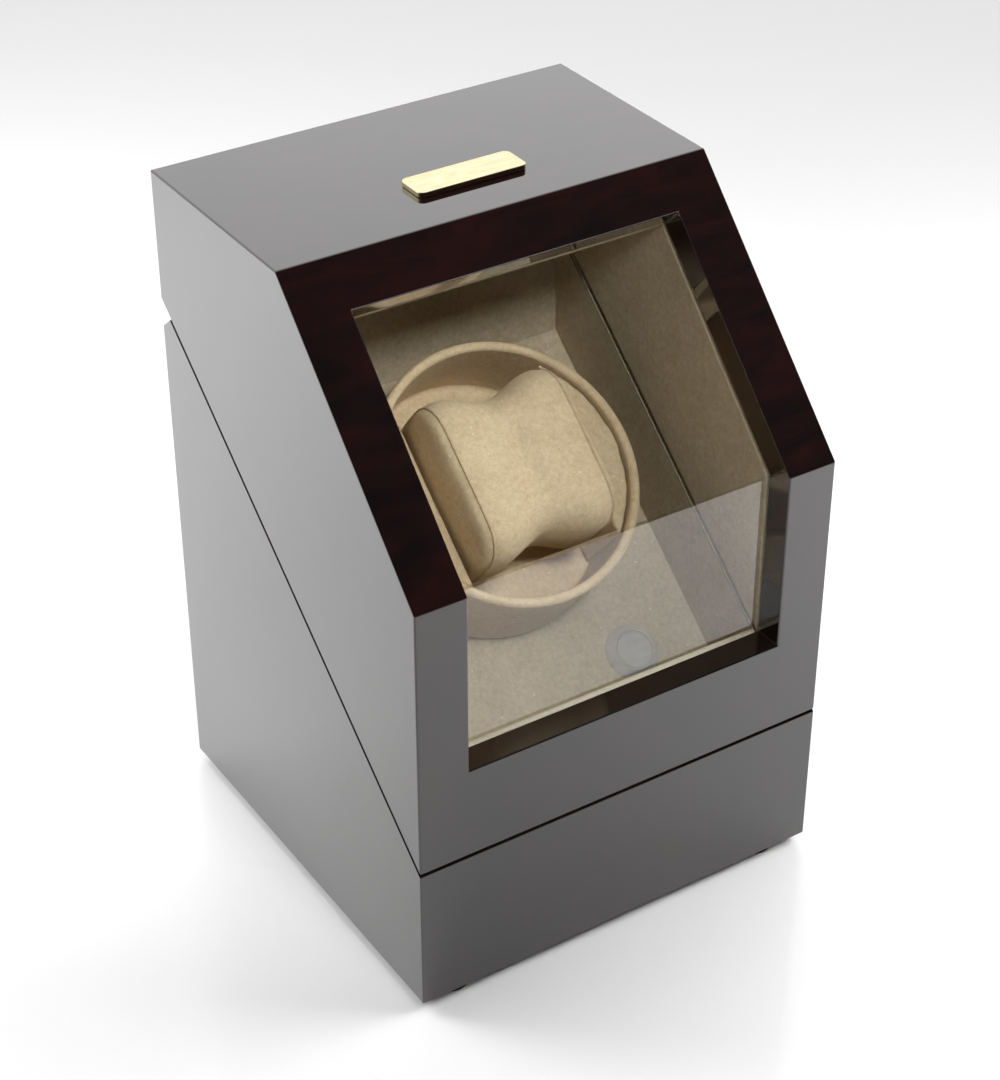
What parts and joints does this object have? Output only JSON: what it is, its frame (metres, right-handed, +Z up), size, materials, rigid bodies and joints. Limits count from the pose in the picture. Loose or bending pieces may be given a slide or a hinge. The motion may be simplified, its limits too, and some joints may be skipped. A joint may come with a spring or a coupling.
{
  "type": "watch winder box",
  "caption": "Lacquered watch winder case with a windowed lid hinged on a slope, a suede-lined tilted panel and a motor-driven drum holding a watch cuff.",
  "frame": {"origin": "on the floor, under the middle of the box's footprint", "axes": "+Z up, front window faces -Y, +X to the viewer's right when facing the front"},
  "size_m": [0.142, 0.143, 0.2163],
  "materials": {
    "lacquered_wood": "high gloss near-black lacquer with a faint red-brown figure",
    "suede_light": "short-nap tan suede",
    "suede_wall": "short-nap tan suede",
    "window_glass": "clear flat glass",
    "polished_brass": "satin gilt",
    "button_metal": "satin silver grey",
    "foot_rubber": "matte black",
    "hinge_metal": "satin",
    "screw_steel": "bright zinc",
    "housing_plastic": "matte black",
    "gear_plastic": "natural acetal",
    "bearing_brass": "machined",
    "shaft_steel": "ground",
    "board_laminate": "green solder mask",
    "drum_board": "moulded, hidden under the suede",
    "spring_band": "flexible black",
    "cover_plastic": "fine texture"
  },
  "bodies": {
    "base": {"base_left_side": "lacquered_wood", "base_right_side": "lacquered_wood", "base_front_panel": "lacquered_wood", "base_rear_panel": "lacquered_wood", "base_bottom_panel": "lacquered_wood", "access_cover": "cover_plastic", "cover_screws": "screw_steel", "rubber_feet": "foot_rubber", "tub_left_wall": "suede_wall", "tub_right_wall": "suede_wall", "tub_rear_wall": "suede_wall", "tub_front_wall": "suede_wall", "drum_panel": "suede_wall", "shaft_bush": "bearing_brass", "gearbox_housing": "housing_plastic", "gearbox_cover": "housing_plastic", "gear_axles": "shaft_steel", "motor": "screw_steel", "gearbox_screws": "screw_steel", "button_bezel": "button_metal", "bezel_nut": "screw_steel", "switch_body": "housing_plastic", "circuit_board": "board_laminate", "board_spacers": "gear_plastic", "dc_jack": "housing_plastic", "jack_nut": "screw_steel", "hinge_base_leaves": "hinge_metal", "hinge_pins": "shaft_steel", "hinge_base_screws": "screw_steel"},
    "lid": {"lid_left_side": "lacquered_wood", "lid_right_side": "lacquered_wood", "lid_top_panel": "lacquered_wood", "lid_rear_panel": "lacquered_wood", "lid_front_frame": "lacquered_wood", "lid_slope_frame": "lacquered_wood", "front_pane": "window_glass", "slope_pane": "window_glass", "lid_left_lining": "suede_wall", "lid_right_lining": "suede_wall", "lid_rear_lining": "suede_wall", "lid_top_lining": "suede_wall", "lid_front_lining": "suede_light", "name_plate": "polished_brass", "hinge_lid_leaves": "hinge_metal", "hinge_lid_screws": "screw_steel"},
    "drum": {"drum_cup": "suede_light", "drum_left_pad": "suede_light", "drum_right_pad": "suede_light", "drum_shaft": "shaft_steel", "drum_wheel": "gear_plastic", "drum_screw": "screw_steel"},
    "cuff": {"cuff_cushion": "suede_light", "cuff_core": "spring_band"},
    "second_gear_set": {"second_gear": "gear_plastic"},
    "first_gear_set": {"first_gear": "gear_plastic"},
    "motor_rotor": {"motor_shaft": "shaft_steel", "motor_pinion": "bearing_brass"},
    "button": {"button_cap": "button_metal"}
  },
  "joints": [
    {"name": "lid_hinge", "type": "hinge", "parent": "base", "child": "lid", "pos_m": [0, 0.0664, 0.16881], "axis": [-1, 0, 0], "range_deg": [0, 78]},
    {"name": "drum_spin", "type": "hinge", "parent": "base", "child": "drum", "pos_m": [0, 0.01226, 0.10576], "axis": [0, -0.6428, 0.766], "continuous": true},
    {"name": "second_gear_spin", "type": "hinge", "parent": "base", "child": "second_gear_set", "pos_m": [-0.016, 0.00306, 0.09804], "axis": [0, -0.6428, 0.766], "continuous": true},
    {"name": "first_gear_spin", "type": "hinge", "parent": "base", "child": "first_gear_set", "pos_m": [0, -0.00613, 0.09033], "axis": [0, -0.6428, 0.766], "continuous": true},
    {"name": "motor_spin", "type": "hinge", "parent": "base", "child": "motor_rotor", "pos_m": [0.016, -0.01532, 0.08262], "axis": [0, -0.6428, 0.766], "continuous": true},
    {"name": "cuff_slide", "type": "slide", "parent": "drum", "child": "cuff", "axis": [0, -0.6428, 0.766], "range_m": [0, 0.02]},
    {"name": "button_press", "type": "slide", "parent": "base", "child": "button", "axis": [0, 0.6428, -0.766], "range_m": [0, 0.0015], "stiffness_N_per_m": 1200, "springref_m": -0.001}
  ],
  "couplings": [
    {"joint": "second_gear_spin", "follows": "drum_spin", "ratio": -4},
    {"joint": "first_gear_spin", "follows": "drum_spin", "ratio": 16},
    {"joint": "motor_spin", "follows": "drum_spin", "ratio": -64}
  ]
}
